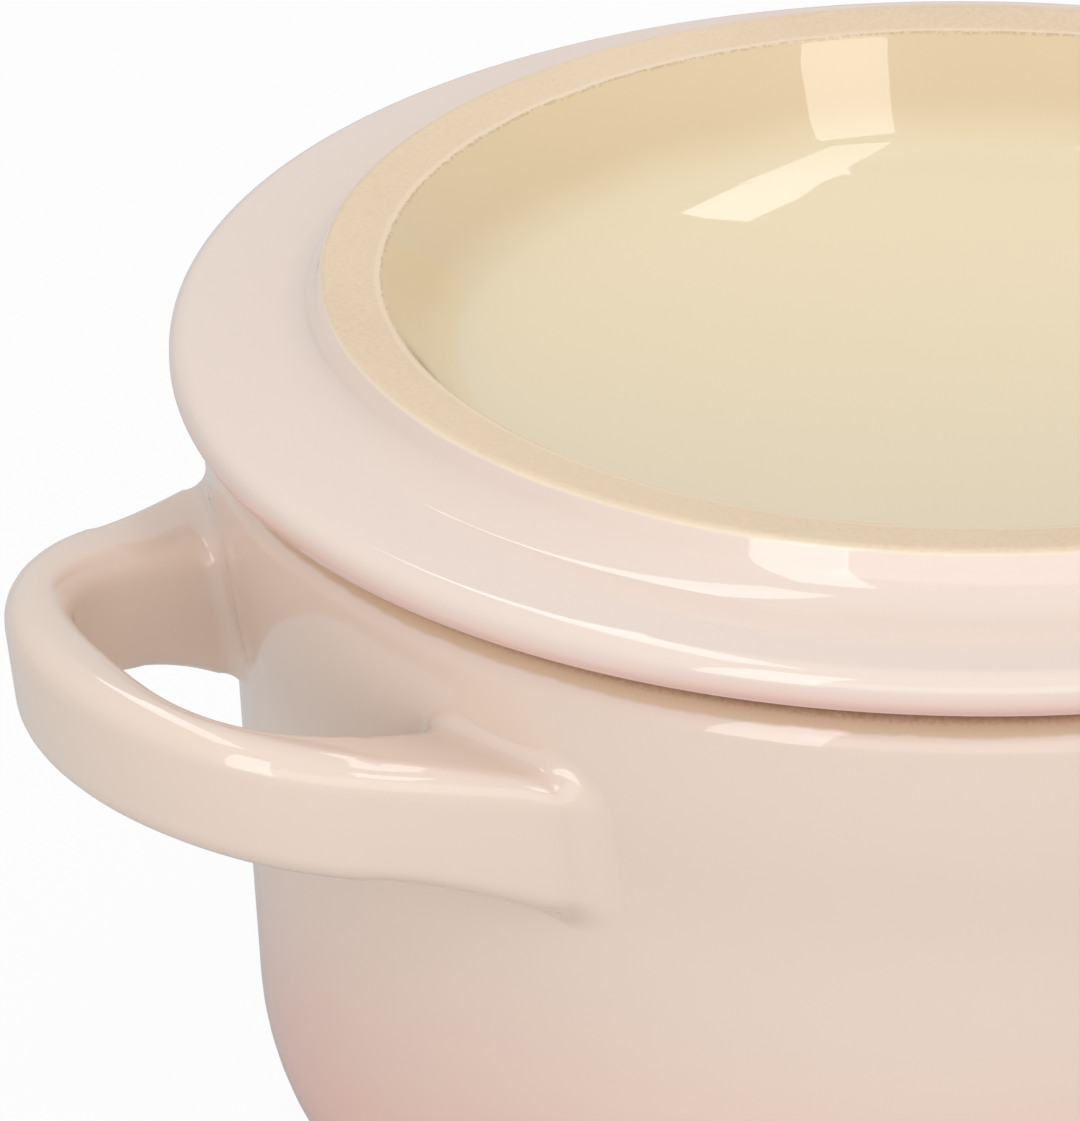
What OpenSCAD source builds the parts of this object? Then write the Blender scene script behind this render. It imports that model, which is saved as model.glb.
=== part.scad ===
// Mini casserole in glazed stoneware: a round pot with two loop handles, and its lid,
// which lies upside down on the rim with its knob hanging into the pot.
// The origin is the middle of the base. +Z is up, and the handles lie along X.

/* [Pot] */
// Outside diameter of the pot at its rim
pot_d = 96; // [84:1:130]
// Height of the pot from the table to the rim
pot_h = 55; // [48:1:90]
// Thickness of the side wall
wall = 4.6; // [3.5:0.1:6]
// Thickness of the floor above the foot recess
floor_t = 4.6; // [3.5:0.1:8]
// Lean of the side wall, which narrows towards the base, in degrees
wall_draft = 2.4; // [0:0.1:5]
// Height of the upright band below the rim
rim_band_h = 7; // [4:0.5:10]
// How far that band stands out from the line of the leaning wall
rim_flare = 1.2; // [0:0.1:2]
// Height over which the wall flares out to the band
flare_h = 9; // [8:1:14]
// Rounding on the outer edge of the rim
rim_outer_r = 2.4; // [1:0.1:2.6]
// Rounding on the inner edge of the rim
rim_inner_r = 1.5; // [0.6:0.1:2]
// Radius of the turn from side wall to base, outside, where the foot leaves room for it
bottom_r = 14; // [8:1:20]
// Radius of the turn from side wall to floor, inside
floor_r = 10; // [5:1:16]
// Outside diameter of the bare foot ring
foot_d = 60; // [50:1:62]
// Width of the foot ring
foot_w = 3.4; // [2:0.1:6]
// Depth of the recess inside the foot ring
foot_recess = 1.2; // [0.5:0.1:2]
// Height of the foot ring below the rounded base
foot_h = 0.8; // [0.4:0.1:2]

/* [Handles] */
// Distance that each handle stands out past the rim
handle_reach = 17.2; // [14:0.1:24]
// Outside width of the loop where it leaves the wall, before its flare
handle_span = 41; // [38:0.5:48]
// Thickness of the bar across the tip, seen from above
bar_tip = 5.3; // [4.5:0.1:8]
// Thickness of each leg beside the finger gap, seen from above
bar_leg = 7; // [5:0.1:9]
// Height of the bar
bar_h = 8.6; // [6:0.1:11]
// Rounding on the edges of the bar, where its thickness leaves room for it
bar_edge_r = 2; // [1:0.1:2.2]
// How far the outer face of the bar leans in towards its underside
bar_taper = 0.9; // [0:0.1:1]
// Height from the top of the handle's root up to the rim
handle_drop = 6.2; // [4:0.1:12]
// Rise of the handle towards its tip, in degrees
handle_tilt = 9.5; // [0:0.5:15]
// Sideways flare of each leg where it meets the wall
root_flare = 3.4; // [0:0.1:4]
// Deepening of the bar, underneath, where it meets the wall
root_depth = 1.2; // [0:0.1:2.5]
// Size of the soft fillet all round the root
root_fillet = 1.6; // [0.6:0.1:2]

/* [Lid] */
// How far the edge of the lid stands out past the rim
lid_overhang = 2; // [1:0.1:4]
// Thickness of the flange at its edge
flange_t = 2.6; // [2.4:0.05:5]
// Fall of the flange's seat towards its edge
flange_fall = 0.25; // [0:0.05:0.8]
// Rise of the flange's upper face from its edge to the dome
brim_rise = 1.3; // [0.2:0.05:2]
// Thickness of the lid over its dome
lid_t = 4.4; // [3.5:0.1:6]
// Height of the dome above the flange
dome_h = 8; // [5:0.5:14]
// Depth of the locating ring below the flange
ring_h = 3.3; // [2.5:0.1:8]
// Width of the flat tip of the locating ring
ring_w = 3.8; // [2.5:0.1:5]
// Slope of the bowl's side inside the locating ring, in degrees from upright
bowl_lean = 32; // [15:1:38]
// Radius of the turn from the bowl's side to its floor
bowl_r = 3.5; // [2:0.5:10]
// Play between the locating ring and the mouth of the pot, on each side
ring_play = 2.1; // [1:0.1:3]

/* [Knob] */
// Diameter of the knob
knob_d = 22; // [18:0.5:26]
// Height of the knob above the dome
knob_h = 14; // [13:0.5:20]
// Height of the knob's cap
knob_cap_h = 7; // [6:0.5:7.5]
// Diameter of the knob's neck
neck_d = 13; // [10:0.5:15]

/* [Fit] */
// Gap between the rim and the lid that lies upside down on it
seat_gap = 0.15; // [0.1:0.05:0.4]

/* [Hidden] */

glaze_pink = [0.90, 0.83, 0.77];
glaze_pale = [0.93, 0.86, 0.80];

// Sides of a full turn
$fn = 96;
// Largest step of a rounded corner, in degrees
corner_step = 11.25;
// Small overlap of cuts
eps = 0.01;

rim_r = pot_d / 2;
mouth_r = rim_r - wall;
band_z = pot_h - rim_band_h;
flare_z = band_z - flare_h;
handle_top_z = pot_h - handle_drop;
handle_mid_z = handle_top_z - bar_h / 2;

// Rounded outlines

function unit(v) = v / norm(v);

// Arc of radius r that rounds the corner q between its neighbours p and s,
// in the given number of steps, or in steps of corner_step
function corner(p, q, s, r, count) =
    let (
        u = unit(p - q),
        v = unit(s - q),
        half = acos(max(-1, min(1, u * v))) / 2,
        mid = q + unit(u + v) * r / sin(half),
        from = q + u * r / tan(half) - mid,
        to = q + v * r / tan(half) - mid,
        a = atan2(from[1], from[0]),
        turn = ((atan2(to[1], to[0]) - a + 540) % 360) - 180,
        steps = is_undef(count) ? max(1, ceil(abs(turn) / corner_step - eps)) : count
    )
    [for (k = [0 : steps]) mid + r * [cos(a + turn * k / steps), sin(a + turn * k / steps)]];

// Outline from [x, y, radius] points, each corner rounded by its own radius
function rounded(pts, count) =
    let (n = len(pts), at = function(i) [pts[(i + n) % n][0], pts[(i + n) % n][1]])
    [for (i = [0 : n - 1]) each
        (pts[i][2] > 0 ? corner(at(i - 1), at(i), at(i + 1), pts[i][2], count) : [at(i)])];

// Pot

// Outside radius of the side wall at height z
function wall_r(z) =
    rim_r - max(0, band_z - z) * tan(wall_draft)
    - rim_flare * max(0, min(1, (band_z - z) / flare_h));

// Radius of the two soft turns between the leaning wall and the upright band
flare_blend_r = 40;

module pot_outside()
    rotate_extrude()
        polygon(rounded([
            [0, 0, 0],
            [foot_d / 2, 0, foot_h / 2],
            [foot_d / 2, foot_h, 0],
            [wall_r(foot_h), foot_h, min(bottom_r, wall_r(foot_h) - foot_d / 2)],
            [wall_r(flare_z), flare_z, flare_blend_r],
            [rim_r, band_z, flare_blend_r],
            [rim_r, pot_h, rim_outer_r],
            [0, pot_h, 0]
        ]));

module pot_inside()
    let (floor_z = foot_recess + floor_t)
    rotate_extrude()
        polygon(rounded([
            [0, floor_z, 0],
            [wall_r(floor_z) - wall, floor_z, floor_r],
            [wall_r(flare_z) - wall, flare_z, flare_blend_r],
            [mouth_r, band_z, flare_blend_r],
            [mouth_r, pot_h + eps, 0],
            [0, pot_h + eps, 0]
        ]));

// Quarter round that is cut from the inner edge of the rim
module rim_inner_edge()
    rotate_extrude()
        difference() {
            translate([mouth_r - eps, pot_h - rim_inner_r])
                square([rim_inner_r + eps, rim_inner_r + eps]);
            translate([mouth_r + rim_inner_r, pot_h - rim_inner_r])
                circle(r = rim_inner_r);
        }

module foot_hollow()
    rotate_extrude()
        polygon(rounded([
            [0, -eps, 0],
            [foot_d / 2 - foot_w + eps, -eps, 0],
            [foot_d / 2 - foot_w - foot_recess / 2, foot_recess, foot_recess / 2],
            [0, foot_recess, 0]
        ]));

// Handles

// The loop is a fan of upright sections round a vertical line just inside the wall.
// Angle 0 points at the tip. Past loop_end, the rings of both legs turn to lie along the wall.
fan_inset = 0.8;
fan_x = wall_r(handle_mid_z) - fan_inset;
loop_end = 70;
loop_step = 5;
leg_steps = 3;
fillet_steps = 4;
bar_corner_steps = 4;
bar_round = min(bar_edge_r, 0.45 * (min(bar_tip, bar_leg) - bar_taper));
// The fillet stops this many degrees before it would lie flat on the wall
fillet_rest = 8;
tip_out = rim_r + handle_reach - fan_x;
tip_in = tip_out - bar_tip;
leg_out = handle_span / 2;
leg_in = leg_out - bar_leg;
// Power of the oval that draws the finger gap: 2 is an ellipse, and more is squarer
gap_power = 3;
// Depth to which the legs run on inside the wall
root_sink = wall / 3;

// Distance from the fan's line to an oval of half-sizes a and b
function oval(angle, a, b, power) =
    pow(pow(cos(angle) / a, power) + pow(abs(sin(angle)) / b, power), -1 / power);

// Section of the bar as [distance from the fan's line, height] points, with its share
// of the root's flare, and grown on all sides
function bar_outline(angle, flare, grow) =
    let (
        in = oval(angle, tip_in, leg_in, gap_power) - grow,
        out = oval(angle, tip_out, leg_out, 2) + root_flare * flare + grow,
        low = -bar_h - root_depth * flare - grow,
        r = bar_round + grow
    )
    rounded([[in, grow, r], [in, low, r], [out - bar_taper, low, r], [out, grow, r]],
        bar_corner_steps);

// Height of a point of the bar once the handle is tilted
function tilted_z(x, h) = handle_top_z + h + (x - fan_x) * tan(handle_tilt);

function loop_ring(angle) =
    [for (p = bar_outline(angle, 0, 0))
        let (x = fan_x + p[0] * cos(angle))
        [x, p[0] * sin(angle), tilted_z(x, p[1])]];

// Distance along X to the surface that lies off the wall, at y and height z
function wall_x(y, z, off) = sqrt(pow(wall_r(z) + off, 2) - y * y);

function root_point(y, h, off) =
    let (z = tilted_z(wall_x(y, handle_mid_z, off), h))
    [wall_x(y, z, off), y, z];

// Ring of a leg, all of it at one share of the way from the loop to the fillet
function leg_ring(side, share) =
    let (
        start = loop_ring(side * loop_end),
        straight = bar_outline(90, 0, 0),
        flared = bar_outline(90, share * share, 0)
    )
    [for (j = [0 : len(start) - 1])
        let (
            p = start[j],
            y = side * flared[j][0] - (side * straight[j][0] - p[1]) * pow(1 - share, 2),
            off = norm([p[0], p[1]]) - wall_r(p[2])
        )
        root_point(y, flared[j][1], off + (root_fillet - off) * share)];

// Ring of the fillet between a leg and the wall, turned from 0 at the leg to 90 on the wall
function fillet_ring(side, turn, off) =
    [for (p = bar_outline(90, 1, root_fillet * (1 - cos(turn))))
        root_point(side * p[0], p[1], off)];

function root_rings(side) = concat(
    [for (k = [1 : leg_steps]) leg_ring(side, k / leg_steps)],
    [for (k = [1 : fillet_steps])
        let (turn = (90 - fillet_rest) * k / fillet_steps)
        fillet_ring(side, turn, root_fillet * (1 - sin(turn)))],
    [fillet_ring(side, 90 - fillet_rest, -root_sink)]
);

function reversed(list) = [for (k = [len(list) - 1 : -1 : 0]) list[k]];

module handle()
    let (
        rings = concat(
            reversed(root_rings(-1)),
            [for (a = [-loop_end : loop_step : loop_end]) loop_ring(a)],
            root_rings(1)
        ),
        n = len(rings[0]),
        last = (len(rings) - 1) * n
    )
    polyhedron(
        points = [for (ring = rings) each ring],
        faces = concat(
            [[for (j = [n - 1 : -1 : 0]) j]],
            [for (k = [0 : len(rings) - 2], j = [0 : n - 1])
                [k * n + j, k * n + (j + 1) % n, (k + 1) * n + (j + 1) % n, (k + 1) * n + j]],
            [[for (j = [0 : n - 1]) last + j]]
        )
    );

module pot()
    color(glaze_pink)
        difference() {
            union() {
                pot_outside();
                handle();
                mirror([1, 0, 0]) handle();
            }
            pot_inside();
            rim_inner_edge();
            foot_hollow();
        }

// Lid, drawn the way it is used: dome and knob up, and height 0 at the root of its flange

lid_r = rim_r + lid_overhang;
edge_r = 0.48 * flange_t;
edge_top = flange_fall + flange_t;

// The dome starts where the rounding on the inner edge of the rim ends
dome_r = mouth_r + rim_inner_r;
dome_foot = edge_top + brim_rise;
dome_top = dome_foot + dome_h;
dome_rad = (dome_r * dome_r + dome_h * dome_h) / (2 * dome_h);
arc_steps = 8;

// Height of a shallow dome of radius rad, whose top is at the given height, at radius r
function dome_z(r, top, rad) = top - rad + sqrt(rad * rad - r * r);

// Points along a dome from one radius to another
function dome_arc(from, to, top, rad) =
    [for (k = [0 : arc_steps])
        let (r = from + (to - from) * k / arc_steps)
        [r, dome_z(r, top, rad), 0]];

knob_r = knob_d / 2;
knob_top = dome_top + knob_h;
knob_low = knob_top - knob_cap_h;
knob_edge_r = 2.5;
crown_r = 8;
crown_fall = 0.3;
crown_share = 0.6;
undercut = 0.5;
under_slope = 35;
neck_r = neck_d / 2;
neck_top = knob_low - (knob_r - undercut - neck_r) * tan(under_slope);
neck_fillet = min(3, 0.8 * (neck_top - dome_top));
neck_foot_r = 0.6 * neck_fillet;

knob_outline = [
    [0, knob_top, 0],
    [knob_r * crown_share, knob_top - crown_fall, crown_r],
    [knob_r, knob_top - knob_edge_r, knob_edge_r],
    [knob_r - undercut, knob_low, knob_edge_r],
    [neck_r, neck_top, neck_fillet],
    [neck_r, dome_z(neck_r, dome_top, dome_rad), neck_foot_r]
];

ring_r = mouth_r - ring_play;
ring_lean = 0.8;
ring_edge_r = 0.5;
ring_fillet = 2.6;
tip_fall = 0.4;
tip_r = ring_r - ring_lean - ring_w;

bowl_top = dome_top - lid_t;
bowl_rad = dome_rad - lid_t;
// Radius where the bowl's leaning side meets its floor, found from a first guess
bowl_side_guess = tip_r - (ring_h + bowl_top) * tan(bowl_lean);
bowl_side_h = ring_h + dome_z(bowl_side_guess, bowl_top, bowl_rad);
bowl_side_r = tip_r - bowl_side_h * tan(bowl_lean);
bowl_turn_r = min(bowl_r, 0.9 * bowl_side_h);

lid_outline = rounded(concat(
    knob_outline,
    dome_arc(neck_r + 2 * neck_foot_r, dome_r, dome_top, dome_rad),
    [
        [lid_r, edge_top, edge_r],
        [lid_r, flange_fall, edge_r],
        [ring_r, 0, ring_fillet],
        [ring_r - ring_lean, -ring_h, ring_edge_r],
        [tip_r, -ring_h + tip_fall, ring_edge_r],
        [bowl_side_r, dome_z(bowl_side_r, bowl_top, bowl_rad), bowl_turn_r]
    ],
    dome_arc(bowl_side_r - bowl_turn_r, 0, bowl_top, bowl_rad)
));

// Height at which the lid lies upside down on the rim
lid_rest_z = pot_h + seat_gap + dome_foot;

module lid()
    color(glaze_pale)
        translate([0, 0, lid_rest_z])
            rotate([180, 0, 0])
                rotate_extrude()
                    polygon(lid_outline);

pot();
lid();
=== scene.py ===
"""A mini casserole in pale pink stoneware, with its lid lying upside down on the rim.

The pot and the lid are modelled here as two smooth fired pieces that stand for the frame's solids, and
are dressed in glaze and bare clay. Lengths are written in millimetres.
"""

import logging
import math
from dataclasses import dataclass, field
from enum import Enum

import bmesh
import bpy
from mathutils import Matrix, Vector


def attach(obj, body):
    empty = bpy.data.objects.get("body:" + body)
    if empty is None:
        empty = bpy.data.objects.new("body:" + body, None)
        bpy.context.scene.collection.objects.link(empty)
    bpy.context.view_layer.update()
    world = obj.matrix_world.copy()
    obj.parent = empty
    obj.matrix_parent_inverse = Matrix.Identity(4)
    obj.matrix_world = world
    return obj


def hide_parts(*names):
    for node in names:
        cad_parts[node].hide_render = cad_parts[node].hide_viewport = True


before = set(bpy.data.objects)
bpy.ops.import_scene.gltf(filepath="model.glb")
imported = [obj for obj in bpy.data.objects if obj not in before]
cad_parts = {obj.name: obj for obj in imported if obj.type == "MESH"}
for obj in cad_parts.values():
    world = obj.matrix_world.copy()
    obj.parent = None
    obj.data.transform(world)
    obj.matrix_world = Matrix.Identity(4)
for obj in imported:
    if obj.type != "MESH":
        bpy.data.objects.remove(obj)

log = logging.getLogger("casserole")

MM = 0.001
WHEEL_SIDES = 256
ARC_STEP = 5.0
LEAST_ARC = 3
CREASE_ANGLE = 50.0
WELD = 1e-6

Point = tuple[float, float]
Colour = tuple[float, float, float]


def srgb(red: int, green: int, blue: int) -> Colour:
    """Turns a colour as it is seen, from 0 to 255 each, into the linear one that shaders take."""

    def linear(value: int) -> float:
        """Linear value of one channel."""
        v = value / 255
        return v / 12.92 if v <= 0.04045 else ((v + 0.055) / 1.055) ** 2.4

    return linear(red), linear(green), linear(blue)


def mix_number(a: float, b: float, share: float) -> float:
    """Number that lies the given share of the way from a to b."""
    return a + (b - a) * share


# Outlines


@dataclass(frozen=True)
class Corner:
    """A corner of an outline.

    Args:
        x: Distance from the axis.
        y: Height.
        r: Radius that rounds the corner, or 0 for a sharp one.
    """

    x: float
    y: float
    r: float = 0.0


def rounded(corners: list[Corner], closed: bool = False, steps: int = 0) -> list[Point]:
    """Rounds the corners of an outline with arcs.

    Args:
        corners: The corners in order.
        closed: Whether the last corner joins the first.
        steps: Steps in each arc, or 0 for one in every ARC_STEP degrees, and LEAST_ARC at the least.

    Returns:
        The points of the rounded outline.
    """
    points: list[Point] = []
    count = len(corners)
    for i, c in enumerate(corners):
        if c.r <= 0 or (not closed and i in (0, count - 1)):
            points.append((c.x, c.y))
            continue
        here = Vector((c.x, c.y))
        back, ahead = (Vector((n.x, n.y)) for n in (corners[i - 1], corners[(i + 1) % count]))
        u, v = (back - here).normalized(), (ahead - here).normalized()
        half = math.acos(max(-1.0, min(1.0, u.dot(v)))) / 2
        middle = here + (u + v).normalized() * c.r / math.sin(half)
        start = here + u * c.r / math.tan(half) - middle
        end = here + v * c.r / math.tan(half) - middle
        a = math.atan2(start.y, start.x)
        turn = (math.atan2(end.y, end.x) - a + 3 * math.pi) % (2 * math.pi) - math.pi
        arc = steps or max(LEAST_ARC, math.ceil(abs(turn) / math.radians(ARC_STEP)))
        for k in range(arc + 1):
            angle = a + turn * k / arc
            points.append((middle.x + c.r * math.cos(angle), middle.y + c.r * math.sin(angle)))
    return points


def filled_in(points: list[Point], longest: float) -> list[Point]:
    """Adds points along the long straights of an outline.

    Args:
        points: The outline.
        longest: Longest step that stays.

    Returns:
        The outline with its added points.
    """
    out = [points[0]]
    for (x0, y0), (x1, y1) in zip(points, points[1:]):
        parts = max(1, math.ceil(math.hypot(x1 - x0, y1 - y0) / longest))
        out += [
            (mix_number(x0, x1, k / parts), mix_number(y0, y1, k / parts)) for k in range(1, parts + 1)
        ]
    return out


# Modelling by hand


def start_piece(name: str) -> bpy.types.Object:
    """Deselects everything and starts a piece in edit mode, with a single selected point at the origin.

    Args:
        name: Name of the piece.

    Returns:
        The piece.
    """
    bpy.ops.object.select_all(action="DESELECT")
    bpy.ops.mesh.primitive_plane_add(size=1, location=(0, 0, 0))
    piece = bpy.context.object
    piece.name = piece.data.name = name
    bpy.ops.object.mode_set(mode="EDIT")
    bpy.ops.mesh.select_mode(type="VERT")
    bpy.ops.mesh.select_all(action="SELECT")
    bpy.ops.mesh.merge(type="CENTER")
    return piece


def throw_on_wheel(name: str, outline: list[Point]) -> bpy.types.Object:
    """Draws an outline as a chain of edges and spins it round the Z axis into a closed shape.

    Args:
        name: Name of the piece.
        outline: Points as distance from the axis and height, from the axis back to the axis.

    Returns:
        The piece, in metres, with its faces pointing outwards.
    """
    piece = start_piece(name)
    bpy.ops.transform.translate(value=(outline[0][0] * MM, 0, outline[0][1] * MM))
    for (x0, z0), (x1, z1) in zip(outline, outline[1:]):
        step = ((x1 - x0) * MM, 0, (z1 - z0) * MM)
        bpy.ops.mesh.extrude_region_move(TRANSFORM_OT_translate={"value": step})
    bpy.ops.mesh.select_all(action="SELECT")
    bpy.ops.mesh.spin(steps=WHEEL_SIDES, angle=2 * math.pi, center=(0, 0, 0), axis=(0, 0, 1))
    bpy.ops.mesh.select_all(action="SELECT")
    bpy.ops.mesh.remove_doubles(threshold=WELD)
    bpy.ops.mesh.normals_make_consistent(inside=False)
    bpy.ops.object.mode_set(mode="OBJECT")
    bpy.ops.object.shade_smooth()
    return piece


def sweep_through(name: str, rings: list[list[Vector]]) -> bpy.types.Object:
    """Draws the first ring, extrudes it on through the others and caps both ends.

    Args:
        name: Name of the piece.
        rings: Rings of as many points each, in millimetres.

    Returns:
        The swept piece, in metres.
    """
    bpy.ops.object.select_all(action="DESELECT")
    bpy.ops.mesh.primitive_circle_add(vertices=len(rings[0]), radius=1, fill_type="NOTHING")
    piece = bpy.context.object
    piece.name = piece.data.name = name
    bpy.ops.object.mode_set(mode="EDIT")
    bpy.ops.mesh.select_mode(type="VERT")
    bpy.ops.mesh.select_all(action="SELECT")
    mesh = bmesh.from_edit_mesh(piece.data)
    place = mesh.verts.layers.int.new("place")
    mesh.verts.ensure_lookup_table()
    for index, vert in enumerate(mesh.verts):
        vert[place] = index
    bpy.ops.mesh.edge_face_add()
    for number, ring in enumerate(rings):
        if number > 0:
            bpy.ops.mesh.extrude_region_move(TRANSFORM_OT_translate={"value": (0, 0, 0)})
        mesh = bmesh.from_edit_mesh(piece.data)
        place = mesh.verts.layers.int["place"]
        for vert in mesh.verts:
            if vert.select:
                vert.co = ring[vert[place]] * MM
    bmesh.update_edit_mesh(piece.data)
    bpy.ops.mesh.select_all(action="SELECT")
    bpy.ops.mesh.normals_make_consistent(inside=False)
    bpy.ops.object.mode_set(mode="OBJECT")
    bpy.ops.object.shade_smooth_by_angle(angle=math.radians(CREASE_ANGLE))
    return piece


def join_pieces(pieces: list[bpy.types.Object]) -> bpy.types.Object:
    """Joins pieces.

    Args:
        pieces: The pieces, of which the first takes in the others.

    Returns:
        The joined piece.
    """
    bpy.ops.object.select_all(action="DESELECT")
    for piece in pieces:
        piece.select_set(True)
    bpy.context.view_layer.objects.active = pieces[0]
    bpy.ops.object.join()
    return pieces[0]


# Shader maths


@dataclass(frozen=True)
class Band:
    """Soft band.

    Args:
        start: Where it leaves 0.
        full: Where it reaches 1.
        fade: Where it leaves 1.
        end: Where it is back at 0.
    """

    start: float
    full: float
    fade: float
    end: float


class Wire:
    """An output socket that adds, multiplies and compares like a number."""

    def __init__(self, sheet: "ShaderSheet", socket: bpy.types.NodeSocket) -> None:
        """Wraps the socket of a node on the sheet."""
        self.sheet = sheet
        self.socket = socket

    def _math(self, operation: str, first: "Wire | float", second: "Wire | float") -> "Wire":
        """Adds one Math node that joins two values."""
        node = self.sheet.add("ShaderNodeMath", {"operation": operation}, {0: first, 1: second})
        return Wire(self.sheet, node.outputs[0])

    def __add__(self, other: "Wire | float") -> "Wire":
        """Sum."""
        return self._math("ADD", self, other)

    def __radd__(self, other: float) -> "Wire":
        """Sum, with the number first."""
        return self._math("ADD", other, self)

    def __sub__(self, other: "Wire | float") -> "Wire":
        """Difference."""
        return self._math("SUBTRACT", self, other)

    def __rsub__(self, other: float) -> "Wire":
        """Difference, with the number first."""
        return self._math("SUBTRACT", other, self)

    def __mul__(self, other: "Wire | float") -> "Wire":
        """Product."""
        return self._math("MULTIPLY", self, other)

    def __rmul__(self, other: float) -> "Wire":
        """Product, with the number first."""
        return self._math("MULTIPLY", other, self)

    def higher(self, other: "Wire | float") -> "Wire":
        """The larger of two values."""
        return self._math("MAXIMUM", self, other)

    def root(self) -> "Wire":
        """Square root."""
        return self._math("SQRT", self, 0.0)


class ShaderSheet:
    """The node sheet of one material, with its Principled shader."""

    def __init__(self, name: str) -> None:
        """Starts an empty material with a Principled shader that feeds its output.

        Args:
            name: Name of the material.
        """
        self.material = bpy.data.materials.new(name)
        self.material.use_nodes = True
        self.tree = self.material.node_tree
        self.tree.nodes.clear()
        self.surface = self.add("ShaderNodeBsdfPrincipled", {}, {})
        out = self.add("ShaderNodeOutputMaterial", {}, {})
        self.tree.links.new(self.surface.outputs[0], out.inputs["Surface"])

    def add(self, kind: str, settings: dict, values: dict) -> bpy.types.Node:
        """Adds a node.

        Args:
            kind: Type of the node.
            settings: Properties of the node, which are set first.
            values: Numbers, colours or wires for its input sockets, by name or number.

        Returns:
            The node.
        """
        node = self.tree.nodes.new(kind)
        for key, value in settings.items():
            setattr(node, key, value)
        for key, value in values.items():
            socket = node.inputs[key]
            if isinstance(value, Wire):
                self.tree.links.new(value.socket, socket)
            elif isinstance(value, tuple) and len(value) == 3 and socket.type == "RGBA":
                socket.default_value = (*value, 1.0)
            else:
                socket.default_value = value
        return node

    def wire(self, node: bpy.types.Node, output: str | int = 0) -> Wire:
        """One output of a node, as a wire."""
        return Wire(self, node.outputs[output])

    def place(self) -> tuple[Wire, Wire, Wire]:
        """Place of a point on the piece.

        Returns:
            The Object coordinates as a vector in metres, then the distance from the axis and the
            height, in millimetres.
        """
        coordinates = self.wire(self.add("ShaderNodeTexCoord", {}, {}), "Object")
        parts = self.add("ShaderNodeSeparateXYZ", {}, {0: coordinates})
        x, y, z = (self.wire(parts, name) * (1 / MM) for name in ("X", "Y", "Z"))
        return coordinates, (x * x + y * y).root(), z

    def noise(self, where: Wire, size: float, detail: float = 2.0, roughness: float = 0.5) -> Wire:
        """Noise around 0, from about -0.5 to 0.5.

        Args:
            where: Object coordinates.
            size: Size of its lumps, in millimetres.
            detail: How many finer layers it has.
            roughness: How strong they are.

        Returns:
            The noise.
        """
        node = self.add(
            "ShaderNodeTexNoise",
            {},
            {"Vector": where, "Scale": 1 / (size * MM), "Detail": detail, "Roughness": roughness},
        )
        return self.wire(node, 0) - 0.5

    def rise(self, value: Wire, start: float, end: float, base: float = 0.0) -> Wire:
        """Soft step from 0 to 1.

        Args:
            value: What it goes along.
            start: Where it leaves 0.
            end: Where it reaches 1, above or below the start.
            base: Where start and end are counted from.

        Returns:
            The step.
        """
        low, high = base + min(start, end), base + max(start, end)
        to_low, to_high = (0.0, 1.0) if start < end else (1.0, 0.0)
        node = self.add(
            "ShaderNodeMapRange",
            {"interpolation_type": "SMOOTHSTEP"},
            {"Value": value, "From Min": low, "From Max": high, "To Min": to_low, "To Max": to_high},
        )
        return self.wire(node, 0)

    def band(self, value: Wire, band: Band, base: float) -> Wire:
        """Soft band, 1 inside and 0 outside, with its places counted from the base."""
        return self.rise(value, band.start, band.full, base) * self.rise(value, band.end, band.fade, base)

    def blend(self, first: Wire | Colour, second: Wire | Colour, share: Wire) -> Wire:
        """Mixes two colours.

        Args:
            first: Colour where the share is 0.
            second: Colour where it is 1.
            share: The share.

        Returns:
            The mixed colour.
        """
        node = self.add("ShaderNodeMix", {"data_type": "RGBA"}, {})
        self.tree.links.new(share.socket, node.inputs["Factor"])
        for socket, value in ((node.inputs[6], first), (node.inputs[7], second)):
            if isinstance(value, Wire):
                self.tree.links.new(value.socket, socket)
            else:
                socket.default_value = (*value, 1.0)
        return Wire(self, node.outputs[2])

    def finish(self, colour: Wire, roughness: Wire, height: Wire, coat: Wire) -> bpy.types.Material:
        """Feeds the shader: what varies goes to colour, roughness, coat weight and bump.

        Args:
            colour: Base colour.
            roughness: Roughness.
            height: Height of the relief, in millimetres.
            coat: Share of glassy coat.

        Returns:
            The finished material.
        """
        bump = self.add("ShaderNodeBump", {}, {"Height": height, "Strength": 1.0, "Distance": MM})
        links = self.tree.links
        links.new(colour.socket, self.surface.inputs["Base Color"])
        links.new(roughness.socket, self.surface.inputs["Roughness"])
        links.new(coat.socket, self.surface.inputs["Coat Weight"])
        links.new(bump.outputs[0], self.surface.inputs["Normal"])
        self.surface.inputs["IOR"].default_value = 1.5
        self.surface.inputs["Specular IOR Level"].default_value = 0.25
        self.surface.inputs["Coat IOR"].default_value = 1.6
        self.surface.inputs["Coat Roughness"].default_value = 0.02
        return self.material


class Ware(Enum):
    """Colours of the glazes and of the bare clay, and of painted shade and a painted highlight."""

    PINK_PALE = srgb(233, 214, 200)
    PINK_FLANGE = srgb(238, 220, 209)
    PINK_DEEP = srgb(239, 166, 158)
    PINK_EDGE = srgb(234, 192, 182)
    CREAM = srgb(239, 223, 189)
    CREAM_DEEP = srgb(226, 204, 166)
    CLAY = srgb(234, 213, 185)
    CLAY_DARK = srgb(220, 198, 170)
    RIM_CLAY = srgb(219, 194, 166)
    # Painted shade for the gap under the lid, laid on the top of the rim's bare clay.
    RIM_GAP_SHADE = srgb(172, 138, 113)
    # Pale thin glaze of the bead, also the colour of the painted highlight on the raised line at the tip's
    # inner edge.
    BEAD_AND_LIP_HIGHLIGHT = srgb(244, 230, 206)
    # Painted shade in the crease beside the raised line at the tip's inner edge.
    CREASE_SHADE = srgb(208, 180, 144)


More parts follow.
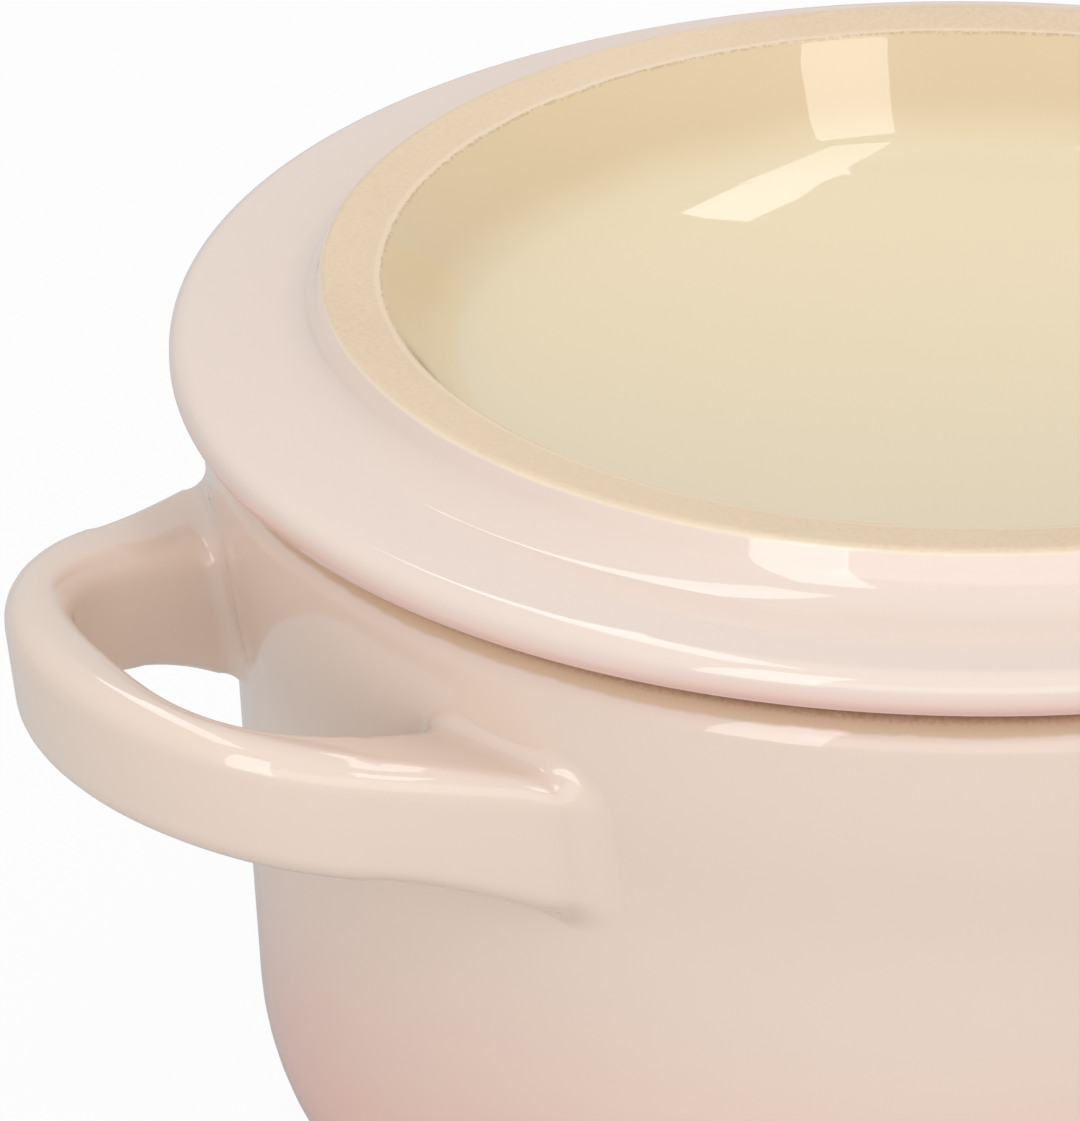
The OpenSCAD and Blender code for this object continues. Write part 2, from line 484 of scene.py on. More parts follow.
class Stoneware:
    """What both finishes share: glossy, softly wavy glaze, and matt, gritty clay where it is bare."""

    cloud_size = 22.0
    speck_size = 0.35
    speck_roughness = 0.7
    wave_size = 14.0
    wave_height = 0.05
    glaze_t = 0.03
    glaze_roughness = 0.3
    clay_roughness = 0.6
    edge_waves: tuple[Point, Point]
    grit: float

    def cloud(self, sheet: ShaderSheet, where: Wire) -> Wire:
        """Broad, faint unevenness of the glaze."""
        return sheet.noise(where, self.cloud_size, 3.0)

    def speck(self, sheet: ShaderSheet, where: Wire) -> Wire:
        """Grain of the clay."""
        return sheet.noise(where, self.speck_size, 2.0, self.speck_roughness)

    def wobble(self, sheet: ShaderSheet, where: Wire) -> Wire:
        """Unevenness of the glaze's edge, in millimetres: long waves with short ones on them."""
        long_waves, short_waves = (sheet.noise(where, size) * height for size, height in self.edge_waves)
        return long_waves + short_waves

    def fire(self, sheet: ShaderSheet, where: Wire, colour: Wire, bare: Wire) -> bpy.types.Material:
        """Gives the surface its gloss and its relief.

        Args:
            sheet: Sheet of the material.
            where: Object coordinates.
            colour: Colour all over.
            bare: 1 where the clay is bare, and 0 under glaze.

        Returns:
            The finished material.
        """
        roughness = bare * (self.clay_roughness - self.glaze_roughness) + self.glaze_roughness
        grit = bare * (self.speck(sheet, where) * self.grit - self.glaze_t)
        relief = sheet.noise(where, self.wave_size) * self.wave_height + grit
        return sheet.finish(colour, roughness, relief, 1.0 - bare)


@dataclass(frozen=True)
class PotFinish(Stoneware):
    """Glaze of the pot: pink outside, deeper towards the base, cream inside, with a bare rim and foot.

    Args:
        rim_z: Height of the rim.
        foot_h: Height of the bare foot.
        fade: Heights at which the glaze is deepest and palest.
        fade_blur: How far clouds in the glaze shift them.
        rim_edge: Where the glaze ends, from the rim.
        foot_edge: Where the clay of the foot begins, from the foot's height.
        foot_steady: Share of the edge's waves that reach the foot.
        gap_shade: Where painted shade of the gap under the lid's flange starts on the rim's clay and where it
            is darkest, from the rim.
        gap_shade_blur: How far the clay's grain shifts that.
        edge_waves: Waves of the glaze's edge, each by its length and height.
        grit: Depth of the clay's grain.
    """

    rim_z: float
    foot_h: float
    fade: Point = (-8.0, 36.0)
    fade_blur: float = 9.0
    rim_edge: Point = (-1.1, -0.85)
    foot_edge: Point = (0.0, -0.4)
    foot_steady: float = 0.4
    gap_shade: Point = (-0.55, -0.1)
    gap_shade_blur: float = 0.3
    edge_waves: tuple[Point, Point] = ((9.0, 0.5), (1.2, 0.25))
    grit: float = 0.03

    def make(self, inner: bool) -> bpy.types.Material:
        """Builds the material of the outside or of the inside.

        Args:
            inner: Whether it is the cream inside.

        Returns:
            The material, which turns to bare clay at the rim and the foot.
        """
        sheet = ShaderSheet("pot_cream_inside" if inner else "pot_pink_outside")
        where, _, z = sheet.place()
        wobble = self.wobble(sheet, where)
        deep, pale = (Ware.CREAM_DEEP, Ware.CREAM) if inner else (Ware.PINK_DEEP, Ware.PINK_PALE)
        paleness = sheet.rise(z + self.cloud(sheet, where) * self.fade_blur, *self.fade)
        glaze = sheet.blend(deep.value, pale.value, paleness)
        rim = sheet.rise(z + wobble, *self.rim_edge, self.rim_z)
        foot = sheet.rise(z + wobble * self.foot_steady, *self.foot_edge, self.foot_h)
        bare = rim.higher(foot)
        # Painted shade: the top of the rim's bare clay is darkened where it lies in the gap under the lid's
        # flange.
        gap_shade = sheet.rise(z + self.speck(sheet, where) * self.gap_shade_blur, *self.gap_shade, self.rim_z)
        rim_clay_with_shade = sheet.blend(Ware.RIM_CLAY.value, Ware.RIM_GAP_SHADE.value, gap_shade)
        clay = sheet.blend(rim_clay_with_shade, Ware.CLAY.value, sheet.rise(z, self.rim_z / 2, self.foot_h))
        return self.fire(sheet, where, sheet.blend(glaze, clay, bare), bare)


@dataclass(frozen=True)
class LidFinish(Stoneware):
    """Glaze of the lid: pink flange and dome, cream bowl, and a bare flat tip on the locating ring.

    Args:
        tip_z: Height of the ring's tip.
        tip_r: Inner radius of the flat tip.
        ring_r: Outer radius of the flat tip.
        edge_z: Height of the middle of the flange's edge.
        face_fade: Where the edge's colour turns to the face's, from the edge's middle.
        face_blur: How far clouds in the glaze shift that.
        dome_fade: Where the dome's deep pink turns to the edge's colour, from the edge's middle.
        floor_fade: Where the bowl's side turns to its paler floor, from the tip.
        floor_blur: How far clouds in the glaze shift that.
        bowl_edge: Where the cream of the bowl begins, from the tip's inner radius.
        bowl_depth: Where it begins on the way up from the dome, from the edge's middle.
        tip_spread: Where the bare clay begins, as shares of the squared half width of the tip.
        bare_depth: Where it begins on the way up, from the tip.
        bead_depth: Where the glaze thins to a pale bead, from the tip.
        line_depth: Where the two lines round the tip begin, from the tip.
        lip_highlight: Painted highlight on the raised line of thick glaze at the tip's inner edge, from the
            tip's inner radius.
        lip_highlight_share: How strong it is.
        ridge_shade: Painted shade, a dark line in the crease beside that raised line, from the tip's inner
            radius.
        ridge_shade_break: How the clay's grain breaks it up.
        clay_fade: How grain and clouds turn the clay from dark to pale.
        edge_waves: Waves of the glaze's edge, each by its length and height.
        grit: Depth of the clay's grain.
    """

    tip_z: float
    tip_r: float
    ring_r: float
    edge_z: float
    face_fade: Point = (-1.2, 0.5)
    face_blur: float = 0.5
    dome_fade: Point = (-12.0, -1.5)
    floor_fade: Point = (-3.5, -7.0)
    floor_blur: float = 2.0
    bowl_edge: Point = (1.2, 0.6)
    bowl_depth: Point = (-9.0, -8.5)
    tip_spread: Point = (1.1, 0.85)
    bare_depth: Point = (-0.9, -0.6)
    bead_depth: Point = (-0.45, -0.25)
    line_depth: Point = (-1.5, -1.2)
    lip_highlight: Band = Band(0.0, 0.15, 0.35, 0.55)
    lip_highlight_share: float = 0.35
    ridge_shade: Band = Band(-0.15, 0.0, 0.05, 0.15)
    ridge_shade_break: Point = (-0.15, 0.1)
    clay_fade: Point = (-0.6, 0.3)
    edge_waves: tuple[Point, Point] = ((7.0, 0.3), (0.9, 0.16))
    grit: float = 0.02

    def make(self) -> bpy.types.Material:
        """Builds the material.

        Returns:
            The material, which turns to bare clay on the ring's tip.
        """
        sheet = ShaderSheet("lid_glaze_and_clay")
        where, r, z = sheet.place()
        patterns = self.wobble, self.cloud, self.speck
        wobble, cloud, speck = (pattern(sheet, where) for pattern in patterns)
        face_share = sheet.rise(z + cloud * self.face_blur, *self.face_fade, self.edge_z)
        flange = sheet.blend(Ware.PINK_EDGE.value, Ware.PINK_FLANGE.value, face_share)
        pink = sheet.blend(Ware.PINK_DEEP.value, flange, sheet.rise(z, *self.dome_fade, self.edge_z))
        floor_share = sheet.rise(z + cloud * self.floor_blur, *self.floor_fade, self.tip_z)
        cream = sheet.blend(Ware.CREAM_DEEP.value, Ware.CREAM.value, floor_share)
        inside = sheet.rise(r + wobble, *self.bowl_edge, self.tip_r)
        in_bowl = inside * sheet.rise(z, *self.bowl_depth, self.edge_z)
        from_middle = r - (self.tip_r + self.ring_r) / 2
        reach = ((self.ring_r - self.tip_r) / 2) ** 2
        on_tip = sheet.rise(from_middle * from_middle + wobble, *(reach * share for share in self.tip_spread))
        bare = on_tip * sheet.rise(z, *self.bare_depth, self.tip_z)
        bead = sheet.rise(z + wobble, *self.bead_depth, self.tip_z)
        glaze = sheet.blend(sheet.blend(pink, Ware.BEAD_AND_LIP_HIGHLIGHT.value, bead), cream, in_bowl)
        clay_share = sheet.rise(speck + cloud, *self.clay_fade)
        clay = sheet.blend(Ware.CLAY_DARK.value, Ware.CLAY.value, clay_share)
        near_tip = sheet.rise(z, *self.line_depth, self.tip_z)
        # Painted highlight along the raised line of glaze at the tip's inner edge.
        lip_highlight = sheet.band(r + wobble, self.lip_highlight, self.tip_r) * near_tip
        ridge_shade = sheet.band(r + wobble, self.ridge_shade, self.tip_r) * near_tip
        colour = sheet.blend(glaze, clay, bare)
        colour = sheet.blend(colour, Ware.BEAD_AND_LIP_HIGHLIGHT.value, lip_highlight * self.lip_highlight_share)
        # Painted shade in the crease beside the raised line, broken up by the clay's grain.
        colour = sheet.blend(colour, Ware.CREASE_SHADE.value, ridge_shade * sheet.rise(speck, *self.ridge_shade_break))
        return self.fire(sheet, where, colour, bare)


# Pieces


@dataclass
class Pot:
    """The pot, with its two loop handles moulded on."""

    rim_r: float = 48.0
    height: float = 55.0
    wall: float = 4.6
    floor: float = 4.6
    draft: float = 2.4
    band_h: float = 7.0
    flare: float = 1.2
    flare_h: float = 9.0
    soft_turn_r: float = 40.0
    rim_outer_r: float = 2.4
    rim_inner_r: float = 1.5
    bottom_r: float = 14.0
    floor_r: float = 10.0
    foot_r: float = 30.0
    foot_w: float = 3.4
    foot_h: float = 0.8
    foot_edge_r: float = 0.4
    foot_root_r: float = 0.35
    recess: float = 1.2
    longest_side: float = 3.0
    handles: "Handle" = field(init=False)

    def __post_init__(self) -> None:
        """Sizes the handles to the wall that carries them."""
        self.handles = Handle(self)

    @property
    def mouth_r(self) -> float:
        """Radius of the mouth."""
        return self.rim_r - self.wall

    @property
    def band_z(self) -> float:
        """Height at which the upright band below the rim starts."""
        return self.height - self.band_h

    @property
    def flare_z(self) -> float:
        """Height at which the wall starts to flare out to the band."""
        return self.band_z - self.flare_h

    def straight_r(self, z: float) -> float:
        """Outside radius of the wall, before its two turns are softened.

        Args:
            z: Height.

        Returns:
            The radius.
        """
        below = self.band_z - z
        return (
            self.rim_r
            - max(0.0, below) * math.tan(math.radians(self.draft))
            - self.flare * max(0.0, min(1.0, below / self.flare_h))
        )

    def wall_r(self, z: float) -> float:
        """Outside radius of the wall, with its soft turns at both ends of the flare.

        Args:
            z: Height.

        Returns:
            The radius.
        """
        draft_slope = math.tan(math.radians(self.draft))
        flare_slope = draft_slope + self.flare / self.flare_h
        radius = self.straight_r(z)
        for turn_z, change in ((self.flare_z, flare_slope - draft_slope), (self.band_z, -flare_slope)):
            into_turn = self.soft_turn_r * abs(change) / 2 - abs(z - turn_z)
            radius += math.copysign(max(0.0, into_turn) ** 2 / (2 * self.soft_turn_r), change)
        return radius

    def outline(self) -> list[Point]:
        """Draws the section of the pot.

        Returns:
            Its points, from the middle of the base round the rim to the middle of the floor.
        """
        floor_z = self.recess + self.floor
        foot_in = self.foot_r - self.foot_w
        corners = [
            Corner(0, self.recess),
            Corner(foot_in - self.recess / 2, self.recess, self.recess / 2),
            Corner(foot_in, 0, self.foot_edge_r),
            Corner(self.foot_r, 0, self.foot_edge_r),
            Corner(self.foot_r, self.foot_h, self.foot_root_r),
            Corner(self.straight_r(self.foot_h), self.foot_h, self.bottom_r),
            Corner(self.straight_r(self.flare_z), self.flare_z, self.soft_turn_r),
            Corner(self.rim_r, self.band_z, self.soft_turn_r),
            Corner(self.rim_r, self.height, self.rim_outer_r),
            Corner(self.mouth_r, self.height, self.rim_inner_r),
            Corner(self.mouth_r, self.band_z, self.soft_turn_r),
            Corner(self.straight_r(self.flare_z) - self.wall, self.flare_z, self.soft_turn_r),
            Corner(self.straight_r(floor_z) - self.wall, floor_z, self.floor_r),
            Corner(0, floor_z),
        ]
        return filled_in(rounded(corners), self.longest_side)

    def is_inside(self, centre: Vector, normal: Vector) -> bool:
        """Whether a face belongs to the cream inside.

        Args:
            centre: Its centre, in millimetres.
            normal: Its normal.

        Returns:
            True for the inside.
        """
        distance = math.hypot(centre.x, centre.y)
        if centre.z > self.height - self.rim_outer_r:
            return distance < (self.rim_r + self.mouth_r) / 2
        faces_axis = normal.x * centre.x + normal.y * centre.y < 0
        faces_up = normal.z > 0.9
        return centre.z > self.recess + self.floor / 2 and (faces_axis or faces_up)

    def build(self) -> bpy.types.Object:
        """Throws the body, adds both handles and dresses the pot.

        Returns:
            The pot, in place of the CAD node.
        """
        body = throw_on_wheel("pot_stoneware", self.outline())
        finish = PotFinish(self.height, self.foot_h)
        body.data.materials.append(finish.make(False))
        body.data.materials.append(finish.make(True))
        for face in body.data.polygons:
            face.material_index = int(self.is_inside(face.center / MM, face.normal))
        right = self.handles.build("handle_right")
        right.data.materials.append(body.data.materials[0])
        left = self.handles.copy_across(right, "handle_left")
        pot = join_pieces([body, right, left])
        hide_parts("pot")
        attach(pot, "root")
        return pot


@dataclass
class Handle:
    """A loop handle: one bar that runs out of the wall, round an oval and back into it."""

    pot: Pot
    reach: float = 17.2
    span: float = 41.0
    bar_tip: float = 5.3
    bar_leg: float = 7.0
    bar_h: float = 8.6
    edge_r: float = 2.0
    edge_share: float = 0.45
    taper: float = 0.9
    drop: float = 6.2
    tilt: float = 9.5
    root_flare: float = 3.4
    root_depth: float = 1.2
    root_fillet: float = 1.6
    fillet_sink: float = 0.01
    fan_inset: float = 0.8
    loop_end: float = 70.0
    loop_steps: int = 56
    leg_steps: int = 8
    fillet_steps: int = 9
    gap_power: float = 3.0
    corner_steps: int = 7

    @property
    def top_z(self) -> float:
        """Height of the bar's upper face at the wall."""
        return self.pot.height - self.drop

    @property
    def middle_z(self) -> float:
        """Height of the middle of the bar at the wall."""
        return self.top_z - self.bar_h / 2

    @property
    def round_r(self) -> float:
        """Rounding on the bar's edges, as far as its thickness leaves room for it."""
        return min(self.edge_r, self.edge_share * (min(self.bar_tip, self.bar_leg) - self.taper))

    @property
    def fan_x(self) -> float:
        """Distance from the pot's axis to the upright line that the sections stand round."""
        return self.pot.wall_r(self.middle_z) - self.fan_inset

    @staticmethod
    def oval(angle: float, a: float, b: float, power: float) -> float:
        """Distance from the middle to an oval of half-sizes a and b, at an angle in radians."""
        across, along = abs(math.cos(angle)) / a, abs(math.sin(angle)) / b
        return (across**power + along**power) ** (-1 / power)

    def section(self, angle: float, flare: float, grow: float) -> list[Point]:
        """Section of the bar.

        Args:
            angle: Angle round the loop, in radians, where 0 is the tip.
            flare: Share of the root's flare.
            grow: Growth on all sides.

        Returns:
            Points as distance from the line that the sections stand round, and height.
        """
        tip_out = self.pot.rim_r + self.reach - self.fan_x
        leg_out = self.span / 2
        inner = self.oval(angle, tip_out - self.bar_tip, leg_out - self.bar_leg, self.gap_power) - grow
        outer = self.oval(angle, tip_out, leg_out, 2) + self.root_flare * flare + grow
        low = -self.bar_h - self.root_depth * flare - grow
        r = self.round_r + grow
        corners = [
            Corner(inner, grow, r),
            Corner(inner, low, r),
            Corner(outer - self.taper, low, r),
            Corner(outer, grow, r),
        ]
        return rounded(corners, closed=True, steps=self.corner_steps)

    def tilted(self, x: float, height: float) -> float:
        """Height of a point once the handle is tilted."""
        return self.top_z + height + (x - self.fan_x) * math.tan(math.radians(self.tilt))

    def loop_ring(self, angle: float) -> list[Vector]:
        """Draws a ring of the loop.

        Args:
            angle: Angle round the loop, in radians.

        Returns:
            Its points.
        """
        ring = []
        for distance, height in self.section(angle, 0, 0):
            x = self.fan_x + distance * math.cos(angle)
            ring.append(Vector((x, distance * math.sin(angle), self.tilted(x, height))))
        return ring

    def on_wall(self, y: float, height: float, off: float) -> Vector:
        """Finds a point of a leg.

        Args:
            y: How far to the side it is.
            height: Its height on the bar, before the tilt.
            off: How far it stands off the wall.

        Returns:
            The point.
        """

        def reach_x(z: float) -> float:
            """Distance along X to the surface at a height."""
            return math.sqrt((self.pot.wall_r(z) + off) ** 2 - y * y)

        z = self.tilted(reach_x(self.middle_z), height)
        return Vector((reach_x(z), y, z))

    def leg_ring(self, side: int, share: float) -> list[Vector]:
        """Draws a ring of a leg.

        Args:
            side: 1 or -1 for the leg on that side.
            share: Share of the way from the loop to the fillet.

        Returns:
            Its points.
        """
        right_angle = math.pi / 2
        start = self.loop_ring(side * math.radians(self.loop_end))
        straight = self.section(right_angle, 0, 0)
        flared = self.section(right_angle, share * share, 0)
        ring = []
        for point, (plain, _), (wide, height) in zip(start, straight, flared):
            y = side * wide - (side * plain - point.y) * (1 - share) ** 2
            off = math.hypot(point.x, point.y) - self.pot.wall_r(point.z)
            ring.append(self.on_wall(y, height, mix_number(off, self.root_fillet, share)))
        return ring

    def fillet_ring(self, side: int, turn: float, off: float) -> list[Vector]:
        """Draws a ring of the fillet between a leg and the wall.

        Args:
            side: 1 or -1 for the leg on that side.
            turn: How far the fillet has turned towards the wall, in radians.
            off: How far the ring stands off the wall.

        Returns:
            Its points.
        """
        section = self.section(math.pi / 2, 1, self.root_fillet * (1 - math.cos(turn)))
        return [self.on_wall(side * distance, height, off) for distance, height in section]

    def root_rings(self, side: int) -> list[list[Vector]]:
        """Draws the rings of a root.

        Args:
            side: 1 or -1 for the leg on that side.

        Returns:
            The rings, from the end of the loop to just inside the wall.
        """
        rings = [self.leg_ring(side, k / self.leg_steps) for k in range(1, self.leg_steps + 1)]
        for k in range(1, self.fillet_steps + 1):
            turn = math.pi / 2 * k / self.fillet_steps
            off = self.root_fillet * (1 - math.sin(turn)) - self.fillet_sink
            rings.append(self.fillet_ring(side, turn, off))
        rings.append(self.fillet_ring(side, math.pi / 2, -self.pot.wall / 3))
        return rings

    def build(self, name: str) -> bpy.types.Object:
        """Sweeps the bar through all its rings.

        Args:
            name: Name of the handle.

        Returns:
            The handle.
        """
        end = math.radians(self.loop_end)
        loop = [
            self.loop_ring(mix_number(-end, end, k / self.loop_steps)) for k in range(self.loop_steps + 1)
        ]
        return sweep_through(name, self.root_rings(-1)[::-1] + loop + self.root_rings(1))

    def copy_across(self, handle: bpy.types.Object, name: str) -> bpy.types.Object:
        """Copies a finished handle to the other side of the pot.

        Args:
            handle: The handle.
            name: Name of the copy.

        Returns:
            The copy.
        """
        bpy.ops.object.select_all(action="DESELECT")
        handle.select_set(True)
        bpy.context.view_layer.objects.active = handle
        bpy.ops.object.duplicate()
        other = bpy.context.object
        other.name = other.data.name = name
        other.data.transform(Matrix.Rotation(math.pi, 4, "Z"))
        return other


@dataclass
class Lid:
    """The lid, upside down: its locating ring and bowl face up, and its knob hangs into the pot."""

    pot: Pot
    overhang: float = 2.0
    flange_t: float = 2.6
    edge_share: float = 0.48
    flange_fall: float = 0.25
    brim_rise: float = 1.3
    thickness: float = 4.4
    dome_h: float = 8.0
    ring_h: float = 3.3
    ring_w: float = 3.8
    ring_lean: float = 0.8
    ring_edge_r: float = 0.5
    ring_fillet: float = 2.6
    ring_play: float = 2.1
    tip_fall: float = 0.4
    bowl_lean: float = 32.0
    bowl_r: float = 3.5
    knob_d: float = 22.0
    knob_h: float = 14.0
    knob_cap_h: float = 7.0
    knob_edge_r: float = 2.5
    crown_r: float = 8.0
    crown_fall: float = 0.3
    crown_share: float = 0.6
    undercut: float = 0.5
    under_slope: float = 35.0
    neck_d: float = 13.0
    neck_fillet: float = 3.0
    neck_foot_r: float = 1.8
    seat_gap: float = 0.15
    dome_steps: int = 24
    longest_side: float = 1.5

    @property
    def dome_foot(self) -> float:
        """Height of the dome's foot, in the lid's own upright frame."""
        return self.flange_fall + self.flange_t + self.brim_rise

    @property
    def rest_z(self) -> float:
        """Height at which the flange's root lies."""
        return self.pot.height + self.seat_gap + self.dome_foot

    @property
    def ring_r(self) -> float:
        """Outer radius of the locating ring at its root."""
        return self.pot.mouth_r - self.ring_play

    @property
    def tip_r(self) -> float:
        """Inner radius of the ring's flat tip."""
        return self.ring_r - self.ring_lean - self.ring_w

    def dome(self, r: float, inner: bool = False) -> float:
        """Height of the dome, or of the bowl inside it.

        Args:
            r: Radius.
            inner: Whether it is the bowl's.

        Returns:
            The height, in the lid's own upright frame.
        """
        foot_r = self.pot.mouth_r + self.pot.rim_inner_r
        radius = (foot_r**2 + self.dome_h**2) / (2 * self.dome_h)
        top = self.dome_foot + self.dome_h
        if inner:
            radius -= self.thickness
            top -= self.thickness
        return top - radius + math.sqrt(radius**2 - r**2)

    def dome_arc(self, start: float, end: float, inner: bool = False) -> list[Corner]:
        """Draws the dome, or the bowl inside it.

        Args:
            start: Radius at which it starts.
            end: Radius at which it ends.
            inner: Whether it is the bowl.

        Returns:
            Its points.
        """
        radii = [mix_number(start, end, k / self.dome_steps) for k in range(self.dome_steps + 1)]
        return [Corner(r, self.dome(r, inner)) for r in radii]

    def outline(self) -> list[Point]:
        """Draws the section of the lid.

        Returns:
            Its points, from the top of the knob round the flange to the middle of the bowl.
        """
        edge_r = self.edge_share * self.flange_t
        top = self.dome(0) + self.knob_h
        low = top - self.knob_cap_h
        knob_r, neck_r = self.knob_d / 2, self.neck_d / 2
        under_r = knob_r - self.undercut
        neck_top = low - (under_r - neck_r) * math.tan(math.radians(self.under_slope))
        lean = math.tan(math.radians(self.bowl_lean))
        guess = self.tip_r - (self.ring_h + self.dome(0, True)) * lean
        side_r = self.tip_r - (self.ring_h + self.dome(guess, True)) * lean
        knob = [
            Corner(0, top),
            Corner(knob_r * self.crown_share, top - self.crown_fall, self.crown_r),
            Corner(knob_r, top - self.knob_edge_r, self.knob_edge_r),
            Corner(under_r, low, self.knob_edge_r),
            Corner(neck_r, neck_top, self.neck_fillet),
            Corner(neck_r, self.dome(neck_r), self.neck_foot_r),
        ]
        flange = [
            Corner(self.pot.rim_r + self.overhang, self.flange_fall + self.flange_t, edge_r),
            Corner(self.pot.rim_r + self.overhang, self.flange_fall, edge_r),
            Corner(self.ring_r, 0, self.ring_fillet),
            Corner(self.ring_r - self.ring_lean, -self.ring_h, self.ring_edge_r),
            Corner(self.tip_r, self.tip_fall - self.ring_h, self.ring_edge_r),
            Corner(side_r, self.dome(side_r, True), self.bowl_r),
        ]
        brim_r = self.pot.mouth_r + self.pot.rim_inner_r
        corners = (
            knob
            + self.dome_arc(neck_r + 2 * self.neck_foot_r, brim_r)
            + flange
            + self.dome_arc(side_r - self.bowl_r, 0, True)
        )
        return filled_in([(r, self.rest_z - z) for r, z in rounded(corners)], self.longest_side)

    def build(self) -> bpy.types.Object:
        """Throws the lid and dresses it.

        Returns:
            The lid, in place of the CAD node.
        """
        lid = throw_on_wheel("lid_stoneware", self.outline())
        finish = LidFinish(
            self.rest_z + self.ring_h,
            self.tip_r,
            self.ring_r - self.ring_lean,
            self.rest_z - self.flange_fall - self.flange_t / 2,
        )
        lid.data.materials.clear()
        lid.data.materials.append(finish.make())
        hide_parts("lid")
        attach(lid, "root")
        return lid


# Studio


@dataclass(frozen=True)
class SoftBox:
    """A rectangular studio lamp that faces the pot.

    Args:
        name: Name of the lamp.
        place: Where its middle stands.
        turn: Its turns about X, Y and Z, in degrees, from facing straight down.
        size: Width and length of its face.
        glow: Brightness of its face, where 1 is white.
    """

    name: str
    place: tuple[float, float, float]
    turn: tuple[float, float, float]
    size: tuple[float, float]
    glow: float

    def build(self) -> None:
        """Adds the lamp."""
        place = [value * MM for value in self.place]
        turn = [math.radians(value) for value in self.turn]
        bpy.ops.object.light_add(type="AREA", location=place, rotation=turn)
        lamp = bpy.context.object
        lamp.name = self.name
        lamp.data.shape = "RECTANGLE"
        lamp.data.size, lamp.data.size_y = (value * MM for value in self.size)
        lamp.data.energy = self.glow * math.pi * lamp.data.size * lamp.data.size_y


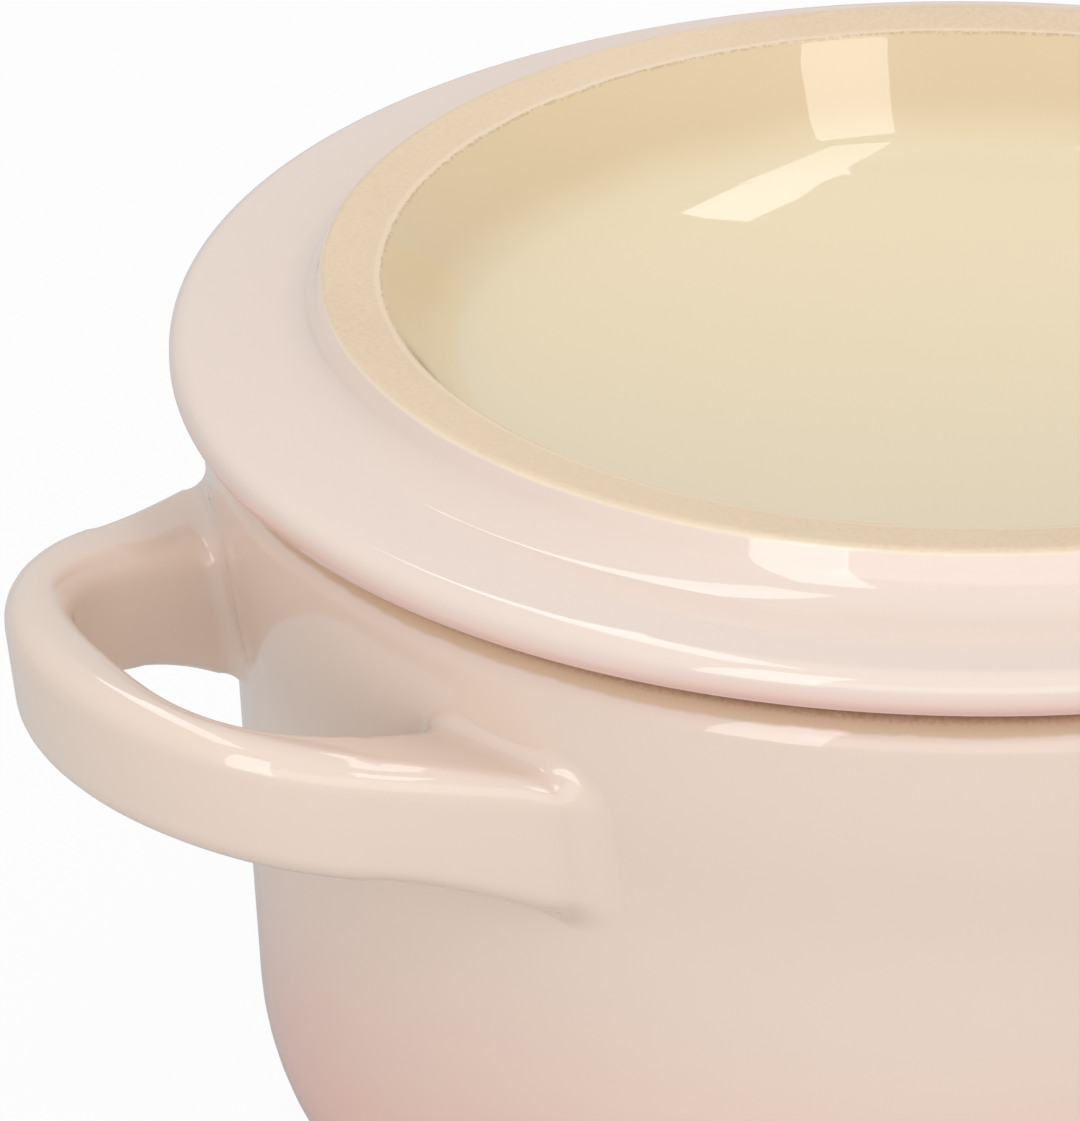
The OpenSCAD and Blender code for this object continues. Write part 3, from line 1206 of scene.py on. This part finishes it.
@dataclass(frozen=True)
class Studio:
    """Pale floor, soft light all round, boxes and strips of light, and the camera.

    Args:
        ambient: Brightness of the light all round.
        floor_size: Length of the floor's sides.
        floor_drop: How far the floor lies below the foot, so that the two faces stay apart.
        paper: Colour of the floor.
        paper_glow: Share of the floor that shows white to the camera alone.
        room_tint: Colour of the light all round.
        camera_place: Where the camera stands.
        camera_turn: Its turns about X, Y and Z, in degrees.
        lens: Focal length of its lens.
        boxes: The lamps.
    """

    ambient: float = 0.655
    floor_size: float = 4000.0
    floor_drop: float = 0.05
    paper: Colour = (0.66, 0.65, 0.64)
    paper_glow: float = 0.95
    room_tint: Colour = (1.0, 0.985, 0.965)
    camera_place: tuple[float, float, float] = (-270.50, -430.37, 296.01)
    camera_turn: tuple[float, float, float] = (63.416, 0.630, -29.412)
    lens: float = 289.03
    boxes: tuple[SoftBox, ...] = (
        SoftBox("box_left", (-596.0, -368.0, 412.0), (90.0, 2.0, -59.0), (197.0, 820.0), 2.5),
        SoftBox("box_right", (-2.0, -700.0, 762.0), (90.0, 0.0, -1.0), (258.0, 340.0), 2.7),
        SoftBox("front_fill", (-110.0, -1275.0, 400.0), (75.0, 0.0, -5.0), (2900.0, 800.0), 0.8),
        SoftBox("strip_left", (118.0, 611.0, 944.0), (0.0, 0.0, -35.8), (133.0, 1596.0), 2.3),
        SoftBox("strip_right", (239.1, 171.0, 668.6), (26.7, -0.7, -30.8), (74.0, 895.0), 2.2),
        SoftBox("strip_right_end", (547.4, 636.3, 949.4), (26.3, 4.7, -41.6), (48.0, 367.0), 2.2),
    )

    def build_floor(self) -> None:
        """Adds the pale floor, which shows nearly white to the camera and keeps a light shadow."""
        bpy.ops.object.select_all(action="DESELECT")
        place = (0, 0, -self.floor_drop * MM)
        bpy.ops.mesh.primitive_plane_add(size=self.floor_size * MM, location=place)
        floor = bpy.context.object
        floor.name = "studio_floor"
        material = bpy.data.materials.new("floor_paper")
        material.use_nodes = True
        nodes, links = material.node_tree.nodes, material.node_tree.links
        nodes.clear()
        paper = nodes.new("ShaderNodeBsdfDiffuse")
        paper.inputs["Color"].default_value = (*self.paper, 1)
        glow = nodes.new("ShaderNodeEmission")
        glow.inputs["Strength"].default_value = 1.0
        seen = nodes.new("ShaderNodeLightPath")
        share = nodes.new("ShaderNodeMath")
        share.operation = "MULTIPLY"
        share.inputs[1].default_value = self.paper_glow
        mix = nodes.new("ShaderNodeMixShader")
        out = nodes.new("ShaderNodeOutputMaterial")
        links.new(seen.outputs["Is Camera Ray"], share.inputs[0])
        links.new(share.outputs[0], mix.inputs[0])
        links.new(paper.outputs[0], mix.inputs[1])
        links.new(glow.outputs[0], mix.inputs[2])
        links.new(mix.outputs[0], out.inputs["Surface"])
        floor.data.materials.append(material)

    def build_world(self) -> None:
        """Sets the light all round, with a white backdrop for the camera alone."""
        world = bpy.data.worlds.new("studio")
        bpy.context.scene.world = world
        world.use_nodes = True
        nodes, links = world.node_tree.nodes, world.node_tree.links
        nodes.clear()
        room = nodes.new("ShaderNodeBackground")
        room.inputs["Color"].default_value = (*self.room_tint, 1)
        room.inputs["Strength"].default_value = self.ambient
        backdrop = nodes.new("ShaderNodeBackground")
        backdrop.inputs["Color"].default_value = (1, 1, 1, 1)
        seen = nodes.new("ShaderNodeLightPath")
        mix = nodes.new("ShaderNodeMixShader")
        out = nodes.new("ShaderNodeOutputWorld")
        links.new(seen.outputs["Is Camera Ray"], mix.inputs[0])
        links.new(room.outputs[0], mix.inputs[1])
        links.new(backdrop.outputs[0], mix.inputs[2])
        links.new(mix.outputs[0], out.inputs["Surface"])

    def build_camera(self) -> None:
        """Adds the camera at the photograph's place."""
        place = [value * MM for value in self.camera_place]
        turn = [math.radians(value) for value in self.camera_turn]
        bpy.ops.object.camera_add(location=place, rotation=turn)
        camera = bpy.context.object
        camera.name = "photo_camera"
        camera.data.lens = self.lens
        camera.data.sensor_width = 36.0
        camera.data.sensor_fit = "AUTO"
        camera.data.clip_start = 0.01
        camera.data.clip_end = 100.0
        bpy.context.scene.camera = camera

    def build(self) -> None:
        """Sets up the whole studio."""
        bpy.context.scene.view_settings.view_transform = "Standard"
        self.build_camera()
        self.build_world()
        self.build_floor()
        for box in self.boxes:
            box.build()


def main() -> None:
    """Builds the pieces and the studio."""
    logging.basicConfig(level=logging.INFO, format="%(message)s")
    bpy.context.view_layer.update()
    Studio().build()
    pot = Pot()
    for piece in (pot.build(), Lid(pot).build()):
        log.info("%s: %d faces", piece.name, len(piece.data.polygons))


if __name__ == "__main__":
    main()
